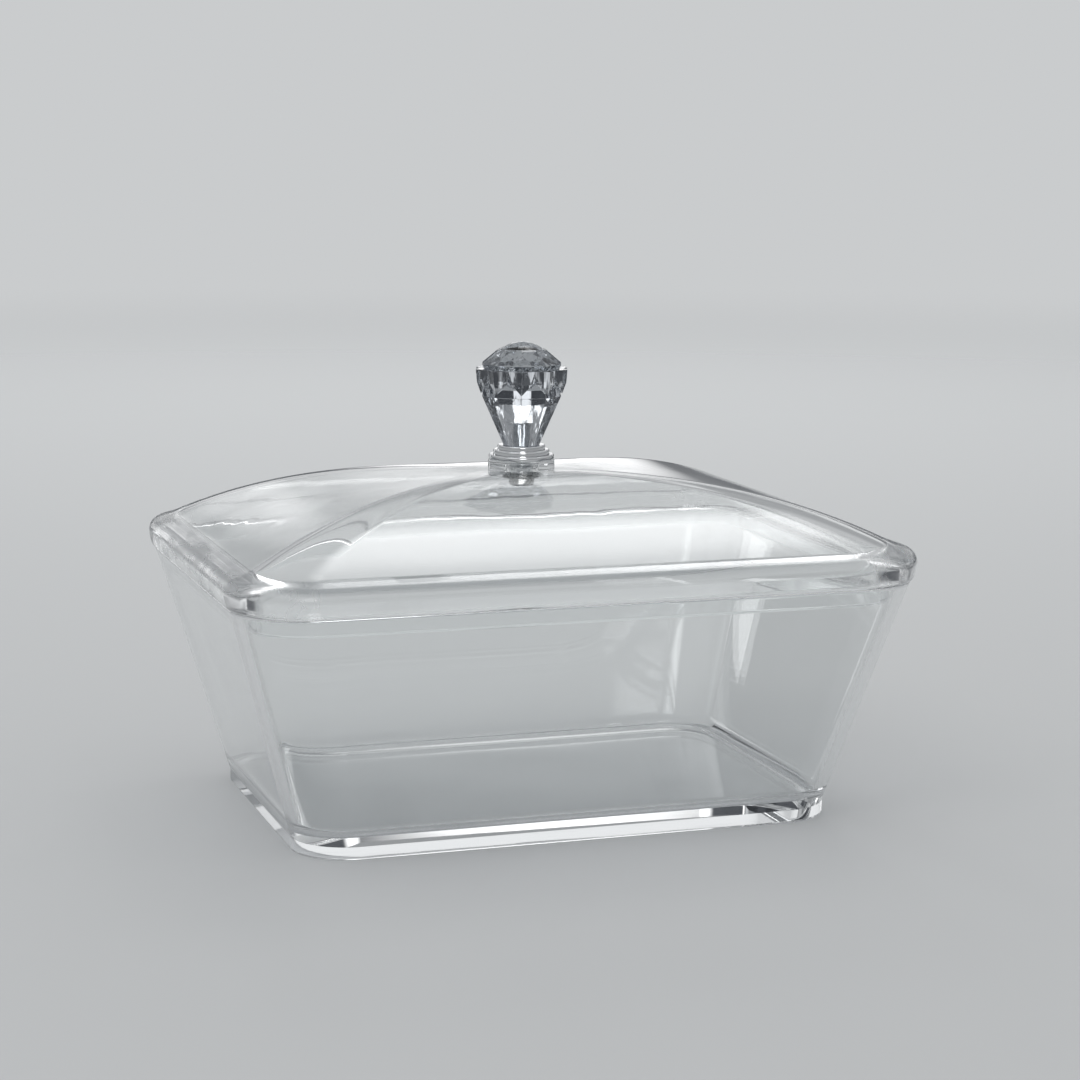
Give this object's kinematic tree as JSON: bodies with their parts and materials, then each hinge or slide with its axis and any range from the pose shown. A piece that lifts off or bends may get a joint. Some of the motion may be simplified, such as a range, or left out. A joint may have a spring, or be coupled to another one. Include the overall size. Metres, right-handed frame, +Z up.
{
  "type": "candy bin with lift-off lid",
  "caption": "Clear tapered candy bin with rounded corners and a lift-off domed lid, lifted by a cut-crystal knob on a stepped chrome collar.",
  "frame": {"origin": "on the surface the bin stands on, under the middle of the tub", "axes": "+X along the long side, +Y across to the back, +Z up through the knob"},
  "size_m": [0.2098, 0.1588, 0.1415],
  "materials": {
    "clear_tub": "clear moulded styrene plastic, polished inside and out",
    "clear_lid": "clear moulded styrene plastic, polished inside and out",
    "crystal": "cut and polished crystal glass",
    "chrome": "bright chrome plating",
    "screw_steel": "zinc plated steel",
    "washer_steel": "zinc plated steel",
    "soft_clear": "soft translucent vinyl"
  },
  "bodies": {
    "bin": {"bin_tub": "clear_tub"},
    "lid": {"lid_shell": "clear_lid", "knob_crystal": "crystal", "knob_collar": "chrome", "knob_screw": "screw_steel", "knob_washer": "washer_steel", "knob_cushion": "soft_clear"}
  },
  "joints": [
    {"name": "lid_lift", "type": "slide", "parent": "bin", "child": "lid", "axis": [0, 0, 1], "range_m": [0, 0.12]}
  ]
}
